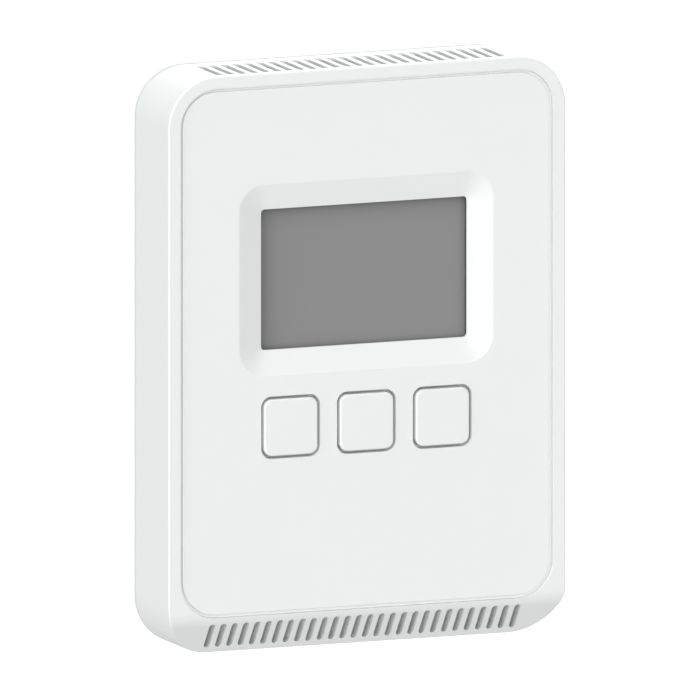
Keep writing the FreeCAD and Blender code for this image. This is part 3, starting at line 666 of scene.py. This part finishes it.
# Light guide: milky acrylic sheet behind the glass, printed with fine dots that scatter the light.
GUIDE_LIGHT = (0.80, 0.82, 0.84, 1)
GUIDE_DARK = (0.70, 0.72, 0.75, 1)
DOT_COLOUR = (0.95, 0.96, 0.97, 1)
guide_acrylic = finish("guide_acrylic", GUIDE_LIGHT, GUIDE_DARK, (0.12, 0.2), 1800, 0.002 * MM)
tree = guide_acrylic.node_tree
dot_places = tree.nodes.new("ShaderNodeTexCoord")
dots = tree.nodes.new("ShaderNodeTexVoronoi")
dots.inputs["Scale"].default_value = 1600
dots.inputs["Randomness"].default_value = 0.25
print_edge = tree.nodes.new("ShaderNodeMapRange")
print_edge.inputs["From Min"].default_value = 0.28
print_edge.inputs["From Max"].default_value = 0.34
print_edge.inputs["To Min"].default_value = 1
print_edge.inputs["To Max"].default_value = 0
tree.links.new(dot_places.outputs["Object"], dots.inputs["Vector"])
tree.links.new(dots.outputs["Distance"], print_edge.inputs["Value"])
overlay(guide_acrylic, print_edge.outputs["Result"], DOT_COLOUR)
guide_low, guide_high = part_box("lcd_backlight")
w, d, h = (guide_high - guide_low) / MM
guide_centre = ((guide_low.x + guide_high.x) / 2, guide_high.y, (guide_low.z + guide_high.z) / 2)
guide = stacked(guide_centre, [(0, w - 0.3, h - 0.3, 0.5), (-0.15, w, h, 0.6), (-d + 0.15, w, h, 0.6),
                               (-d, w - 0.3, h - 0.3, 0.5)])
assemble("light_guide_sheet", [(guide, 0)], [guide_acrylic], "cover", "light_guide", "lcd_backlight")


# Elastomer strips: soft silicone bars with carbon layers that join the glass to the main board.
# The layers show as fine dark bands across each bar, and the bars bulge a little when squeezed.
SILICONE_LIGHT = (0.62, 0.50, 0.47, 1)
SILICONE_DARK = (0.55, 0.44, 0.41, 1)
CARBON_COLOUR = (0.02, 0.02, 0.02, 1)
layered_silicone = finish("layered_silicone", SILICONE_LIGHT, SILICONE_DARK, (0.5, 0.65), 2500)
tree = layered_silicone.node_tree
layer_places = tree.nodes.new("ShaderNodeTexCoord")
layers = tree.nodes.new("ShaderNodeTexWave")
layers.bands_direction = "X"
layers.inputs["Scale"].default_value = 800
tree.links.new(layer_places.outputs["Object"], layers.inputs["Vector"])
overlay(layered_silicone, layers.outputs["Fac"], CARBON_COLOUR)
bars = []
for low, high in solids("elastomer_strips"):
    w, d, h = (high - low) / MM
    centre = ((low[0] + high[0]) / 2, high[1], (low[2] + high[2]) / 2)
    bars.append((stacked(centre, [(0, w - 0.2, h - 0.4, 0.15), (-0.2, w - 0.1, h - 0.2, 0.2),
                                  (-d / 2, w, h, 0.25), (-d + 0.2, w - 0.1, h - 0.2, 0.2),
                                  (-d, w - 0.2, h - 0.4, 0.15)]), 0))
assemble("elastomer_bars", bars, [layered_silicone], "cover", "rubber", "elastomer_strips")


# Main circuit board: the same green laminate, screwed to the panel's posts with the display and the
# switches on its front and everything else on its back.
main_board = refine("main_board", "cover", masked_board("green_board_fine", 340), 0.08 * MM)
second_finish(main_board, laminate, sawn_edges)
main_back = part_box("main_board")[1].y
main_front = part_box("main_board")[0].y
refine("main_board_screws", "cover", zinc, 0.1 * MM)


# Microcontroller: square flat package of black epoxy with ten tinned legs on each side, bent down and
# out to the board. A pale dot marks its first leg. The smaller chips have legs on two sides only.
LEG_T = 0.15
chip_epoxy = finish("chip_epoxy", (0.030, 0.030, 0.032, 1), (0.022, 0.022, 0.024, 1), (0.5, 0.65), 5000)
chip_mark = finish("chip_mark", (0.55, 0.55, 0.53, 1), (0.48, 0.48, 0.46, 1), (0.6, 0.7), 5000)


def leg_row(centre, count, pitch, width, start, reach, height, turn, lift=1):
    """A row of bent legs as closed shells. The path leaves the package level, drops to the board and runs
    on along it. Four corners of a flat section follow the path, and the row turns round the centre in
    quarter turns. Lengths are in mm; lift is the side of the board along Y."""
    path = np.array([(start, height), (start + reach * 0.3, height), (start + reach * 0.55, LEG_T / 2 + 0.05),
                     (start + reach * 0.65, LEG_T / 2), (start + reach, LEG_T / 2)])
    corners = np.array([(-width / 2, -LEG_T / 2), (width / 2, -LEG_T / 2), (width / 2, LEG_T / 2),
                        (-width / 2, LEG_T / 2)])
    along = (np.arange(count) - (count - 1) / 2) * pitch
    shape = (count, len(path), 4)
    side = np.broadcast_to(along[:, None, None] + corners[None, None, :, 0], shape)
    out = np.broadcast_to(path[None, :, None, 0], shape)
    rise = np.broadcast_to(path[None, :, None, 1] + corners[None, None, :, 1], shape) * lift
    c, s = [(1, 0), (0, 1), (-1, 0), (0, -1)][turn]
    points = np.stack([centre[0] + (out * c - side * s) * MM, centre[1] + rise * MM,
                       centre[2] + (out * s + side * c) * MM], axis=3)
    first = (np.arange(count) * len(path) * 4)[:, None, None]
    row = (np.arange(len(path) - 1) * 4)[None, :, None]
    k = np.arange(4)[None, None, :]
    walls = np.stack([first + row + k, first + row + (k + 1) % 4, first + row + 4 + (k + 1) % 4,
                      first + row + 4 + k], axis=3).reshape(-1, 4)
    ends = (first[:, 0, :] + np.array([[3, 2, 1, 0]])).tolist()
    ends += (first[:, 0, :] + (len(path) - 1) * 4 + np.array([[0, 1, 2, 3]])).tolist()
    return closed_mesh("legs", points.reshape(-1, 3).tolist(), walls.tolist() + ends)


def chip_body(centre, w, h, top):
    """Epoxy body with drafted sides that meet at a parting line half way up, and a marking dot."""
    body = stacked(centre, [(0.12, w - 0.3, h - 0.3, 0.15), (0.5 * top, w, h, 0.2),
                            (top - 0.08, w - 0.26, h - 0.26, 0.2), (top - 0.01, w - 0.4, h - 0.4, 0.2)])
    dot = turned((centre[0] - (w / 2 - 1) * MM, centre[1], centre[2] + (h / 2 - 1) * MM),
                 [(top - 0.05, 0.32), (top - 0.001, 0.3)])
    return [(body, 0), (dot, 1)]


mcu_low, mcu_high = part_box("microcontroller")
mcu_centre = ((mcu_low.x + mcu_high.x) / 2, main_back, (mcu_low.z + mcu_high.z) / 2)
mcu_shells = chip_body(mcu_centre, 12, 12, (mcu_high.y - main_back) / MM)
mcu_shells += [(leg_row(mcu_centre, 10, 1.1, 0.45, 5.9, 1.15, 0.75, turn), 2) for turn in range(4)]
assemble("microcontroller_package", mcu_shells, [chip_epoxy, chip_mark, tin], "cover", "dark_plastic",
         "microcontroller")

chip_shells = []
for low, high in solids("board_chips"):
    w, d, h = (high - low) / MM
    centre = ((low[0] + high[0]) / 2, main_back, (low[2] + high[2]) / 2)
    chip_shells += chip_body(centre, w, h, d)
    chip_shells += [(leg_row(centre, 4, 1.27, 0.4, h / 2 - 0.1, 1.0, d / 2, turn), 2) for turn in (1, 3)]
assemble("small_chips", chip_shells, [chip_epoxy, chip_mark, tin], "cover", "dark_plastic", "board_chips")


# Chip resistors and capacitors: tan ceramic blocks with tinned ends, soldered flat on the board.
ceramic = finish("chip_ceramic", (0.42, 0.30, 0.18, 1), (0.34, 0.24, 0.14, 1), (0.4, 0.55), 5000)
passive_shells = []
for low, high in solids("board_passives"):
    w, d, h = (high - low) / MM
    middle = ((low[0] + high[0]) / 2, main_back, (low[2] + high[2]) / 2)
    block = stacked(middle, [(0.02, w - 0.1, h * 0.62, 0.03), (d - 0.06, w - 0.1, h * 0.62, 0.03),
                             (d - 0.02, w - 0.16, h * 0.6, 0.03)], 2)
    passive_shells.append((block, 0))
    for side in (-1, 1):
        tip = (middle[0], middle[1], middle[2] + side * h * 0.39 * MM)
        passive_shells.append((stacked(tip, [(0, w, h * 0.22, 0.05), (d - 0.06, w, h * 0.22, 0.05),
                                             (d, w - 0.1, h * 0.18, 0.04)], 2), 1))
assemble("chip_passives", passive_shells, [ceramic, tin], "cover", "ceramic", "board_passives")


# Filter capacitors: aluminium cans in dark sleeves on rubber seals, with a rolled groove near the
# seal. The sleeve folds over the top edge and leaves the bare end of the can showing.
sleeve = finish("capacitor_sleeve", (0.02, 0.035, 0.07, 1), (0.015, 0.026, 0.055, 1), (0.25, 0.35), 1500)
can_end = metal("can_end", (0.76, 0.76, 0.77, 1), (0.66, 0.66, 0.68, 1), (0.3, 0.45))
can_shells = []
for low, high in solids("filter_capacitors"):
    r = (high[0] - low[0]) / 2 / MM
    top = (high[1] - low[1]) / MM
    centre = ((low[0] + high[0]) / 2, main_back, (low[2] + high[2]) / 2)
    sleeve_profile = [(0, r - 0.35), (0.2, r - 0.15), (0.25, r - 0.02), (0.7, r), (0.8, r - 0.18),
                      (0.95, r - 0.22), (1.1, r - 0.18), (1.2, r), (top - 0.25, r), (top - 0.08, r - 0.08),
                      (top, r - 0.28), (top, r - 0.6), (top - 0.05, r - 0.62)]
    end_profile = [(top - 0.3, r - 0.6), (top - 0.04, r - 0.62), (top - 0.03, r - 0.8),
                   (top - 0.06, r - 1.0), (top - 0.06, 0.3)]
    can_shells += [(turned(centre, sleeve_profile, 9), 0), (turned(centre, end_profile, 9), 1)]
assemble("capacitor_cans", can_shells, [sleeve, can_end], "cover", "aluminium", "filter_capacitors")


# Crystal: low steel can with rounded ends, welded all round to its base flange.
crystal_low, crystal_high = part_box("crystal")
w, d, h = (crystal_high - crystal_low) / MM
crystal_centre = ((crystal_low.x + crystal_high.x) / 2, main_back, (crystal_low.z + crystal_high.z) / 2)
can = stacked(crystal_centre, [(0.02, w - 0.1, h - 0.1, w / 2 - 0.08), (0.05, w, h, w / 2 - 0.01),
                               (0.3, w, h, w / 2 - 0.01), (0.35, w - 0.1, h - 0.1, w / 2 - 0.06),
                               (0.38, w - 0.7, h - 0.7, w / 2 - 0.36),
                               (d - 0.35, w - 0.75, h - 0.75, w / 2 - 0.38),
                               (d - 0.12, w - 0.9, h - 0.9, w / 2 - 0.46),
                               (d, w - 1.4, h - 1.4, w / 2 - 0.71)], 8)
assemble("crystal_can", [(can, 0)], [zinc], "cover", "steel", "crystal")


# Temperature sensor: a bead of dark epoxy on two tinned wires, hanging below the main board in the
# air that rises from the lower vents.
BEAD_TOP = 3.02 * MM
sensor_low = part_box("temperature_sensor")[0]
sensor = refine("temperature_sensor", "cover", chip_epoxy, 0.05 * MM)
second_finish(sensor, tin, lambda centres, normals: centres[:, 2] > sensor_low.z + BEAD_TOP)


# Header pins: gold-plated square pins through a black strip on the back of the main board.
gold = metal("gold_plate", (0.83, 0.64, 0.30, 1), (0.72, 0.54, 0.24, 1), (0.2, 0.32))
header = refine("header_pins", "cover", black_resin, 0.06 * MM)
STRIP_T = 1.3 * MM
second_finish(header, gold, lambda centres, normals: centres[:, 1] > main_back + STRIP_T + 0.05 * MM)


# Switches: one under each button. A black base with four tinned legs is closed by a steel plate with
# a rivet in each corner, and a round plunger comes through the plate.
SWITCH_SIZE = 6.0
PLATE_T = 0.3
PLATE_INSET = 0.1
PLUNGER_HOLE_R = 1.78
RIVET_OUT = 2.35
switch_base = finish("switch_base", RESIN_LIGHT, RESIN_DARK, (0.45, 0.6), 3000)
plunger_nylon = finish("plunger_nylon", (0.10, 0.10, 0.105, 1), (0.08, 0.08, 0.085, 1), (0.35, 0.5), 3000)


def switch_ring(centre, size, corner_r, y_back, y_front, edge):
    """Closed loop of rings round the plunger's hole: outer wall, eased front edge, face and hole wall."""
    middle = (centre[0], centre[2])
    outer = rounded_outline((size * MM, size * MM), corner_r * MM, middle, 6, 1)
    eased = rounded_outline(((size - 2 * edge) * MM,) * 2, corner_r * MM, middle, 6, 1)
    hole = rounded_outline((2 * PLUNGER_HOLE_R * MM,) * 2, 0.999 * PLUNGER_HOLE_R * MM, middle, 6, 1)
    levels = ((outer, y_back), (outer, y_front + edge), (eased, y_front), (hole, y_front), (hole, y_back))
    return skin_mesh("ring", [ring(outline, centre[1] + y * MM) for outline, y in levels], True)


for side in ("left", "middle", "right"):
    low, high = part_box("switch_body_" + side)
    centre = ((low.x + high.x) / 2, main_front, (low.z + high.z) / 2)
    tall = (low.y - main_front) / MM
    base_block = stacked(centre, [(0, SWITCH_SIZE - 0.4, SWITCH_SIZE - 0.4, 0.4),
                                  (-0.3, SWITCH_SIZE, SWITCH_SIZE, 0.5),
                                  (-0.95, SWITCH_SIZE, SWITCH_SIZE, 0.5)])
    walls = switch_ring(centre, SWITCH_SIZE, 0.5, -0.95, tall + PLATE_T, 0.05)
    plate = switch_ring(centre, SWITCH_SIZE - 2 * PLATE_INSET, 0.4, tall + PLATE_T, tall + 0.06, 0.05)
    shells = [(base_block, 0), (walls, 0), (plate, 1)]
    for corner_x in (-1, 1):
        for corner_z in (-1, 1):
            rivet = (centre[0] + corner_x * RIVET_OUT * MM, centre[1], centre[2] + corner_z * RIVET_OUT * MM)
            shells.append((turned(rivet, [(tall + 0.1, 0.36), (tall + 0.05, 0.34), (tall, 0.2)], 4), 0))
    shells += [(leg_row(centre, 2, 4.0, 0.8, 2.9, 1.1, 0.6, turn, -1), 2) for turn in (0, 2)]
    assemble("switch_" + side, shells, [switch_base, zinc, tin], "cover", "dark_plastic",
             "switch_body_" + side)
    low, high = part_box("switch_plunger_" + side)
    r = (high.x - low.x) / 2 / MM
    profile = [((high.y - low.y) / MM, r), (0.2, r), (0.05, r - 0.1), (0, r - 0.3)]
    plunger = turned((centre[0], low.y, centre[2]), profile, 8)
    assemble("plunger_" + side, [(plunger, 0)], [plunger_nylon], side + "_plunger", "dark_plastic",
             "switch_plunger_" + side)


# Lock screw: headless zinc-plated screw in the plate's boss. Turned outwards with a hexagon key, it
# runs down into the hole in the cover's bottom edge and stops the cover from swinging.
THREAD_PITCH = 0.5
THREAD_DEPTH = 0.16
KEY_FLATS = 0.45
KEY_DEPTH = 1.6


def lock_thread(low, high):
    """Radius = outer radius less a triangle wave of height along the axis and angle, faded out at both
    ends. The lower end turns in to a hexagon: radius = half flats / cos(angle from the nearest flat)."""
    radius = (high.x - low.x) / 2
    length = high.z - low.z
    angle = np.linspace(0, 2 * np.pi, 49)[:-1]
    z = np.linspace(0, length, 120)
    turn = (z[:, None] / (THREAD_PITCH * MM) - angle[None, :] / (2 * np.pi)) % 1.0
    fade = np.clip(np.minimum(z, length - z) / (0.4 * MM), 0, 1)[:, None]
    groove = THREAD_DEPTH * MM * (1 - np.abs(2 * turn - 1) * fade)
    wall = radius - groove
    key = KEY_FLATS * MM / np.cos((angle + np.pi / 6) % (np.pi / 3) - np.pi / 6)
    radii = np.concatenate([np.stack([key, key]), wall])
    heights = np.concatenate([[KEY_DEPTH * MM, 0.0], z])
    centre = np.array(((low.x + high.x) / 2, (low.y + high.y) / 2))
    return np.stack([centre[0] + radii * np.cos(angle), centre[1] + radii * np.sin(angle),
                     np.broadcast_to((low.z + heights)[:, None], radii.shape)], axis=2)


screw_skin = skin_mesh("lock_screw", list(lock_thread(*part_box("lock_screw"))), False)
assemble("lock_screw_threaded", [(screw_skin, 0)], [zinc], "lock", "steel", "lock_screw")


# Studio: a plain pale floor well below the object, wide soft lights and a level camera with
# parallel sight lines. The floor is lit but throws no light back up onto the object.
FLOOR_DROP = 0.35
FLOOR_HALF = 30.0
floor_mesh = bpy.data.meshes.new("floor")
floor_mesh.from_pydata([(-FLOOR_HALF, -FLOOR_HALF, -FLOOR_DROP), (FLOOR_HALF, -FLOOR_HALF, -FLOOR_DROP),
                        (FLOOR_HALF, FLOOR_HALF, -FLOOR_DROP), (-FLOOR_HALF, FLOOR_HALF, -FLOOR_DROP)],
                       [], [(0, 1, 2, 3)])
floor_paint = finish("floor_paint", (0.95, 0.95, 0.95, 1), (0.93, 0.93, 0.93, 1), (0.85, 0.95), 40, MM, 1)
floor_shader = floor_paint.node_tree.nodes["Principled BSDF"]
floor_shader.inputs["Emission Color"].default_value = (1, 1, 1, 1)
floor_shader.inputs["Emission Strength"].default_value = 0.3
floor = place("floor", floor_mesh, floor_paint)
floor.visible_diffuse = False
floor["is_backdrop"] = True

world = bpy.data.worlds.new("studio")
world.use_nodes = True
world.node_tree.nodes["Background"].inputs["Color"].default_value = (1, 1, 1, 1)
world.node_tree.nodes["Background"].inputs["Strength"].default_value = 0.38
bpy.context.scene.world = world

LIGHTS = {
    "key": ((-0.30, -0.94, 0.15), 40, 1.01),
    "wide_key": ((-0.50, -0.80, 0.22), 60, 1.2),
    "side_key": ((-0.85, -0.50, 0.10), 40, 0.4),
    "grazing": ((-0.97, -0.25, 0.00), 20, 1.15),
    "over": ((0.00, 0.00, 1.00), 20, 1.0),
    "behind": ((0.37, 0.92, 0.30), 40, 1.4),
}
for light_name, (source, spread, strength) in LIGHTS.items():
    lamp = bpy.data.lights.new(light_name, "SUN")
    lamp.energy = strength
    lamp.angle = math.radians(spread)
    lamp_object = bpy.data.objects.new(light_name, lamp)
    bpy.context.scene.collection.objects.link(lamp_object)
    lamp_object.location = source
    lamp_object.rotation_mode = "QUATERNION"
    lamp_object.rotation_quaternion = lamp_object.location.to_track_quat("Z", "Y")

bpy.context.scene.view_settings.view_transform = "Standard"

VIEW_TURN = math.radians(-21.87)
VIEW_RISE = math.radians(9.52)
VIEW_WIDTH = 0.1393
AIM_RIGHT = 3.42 * MM
AIM_UP = -1.49 * MM
VIEW_DISTANCE = 0.6
back = np.array([math.sin(VIEW_TURN) * math.cos(VIEW_RISE), -math.cos(VIEW_TURN) * math.cos(VIEW_RISE),
                 math.sin(VIEW_RISE)])
right = np.array([math.cos(VIEW_TURN), math.sin(VIEW_TURN), 0.0])
up = np.cross(back, right)
camera_data = bpy.data.cameras.new("camera")
camera_data.type = "ORTHO"
camera_data.ortho_scale = VIEW_WIDTH
camera = bpy.data.objects.new("camera", camera_data)
bpy.context.scene.collection.objects.link(camera)
camera.location = back * VIEW_DISTANCE + right * AIM_RIGHT + up * AIM_UP
camera.rotation_euler = (math.pi / 2 - VIEW_RISE, 0, VIEW_TURN)
bpy.context.scene.camera = camera

low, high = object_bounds()
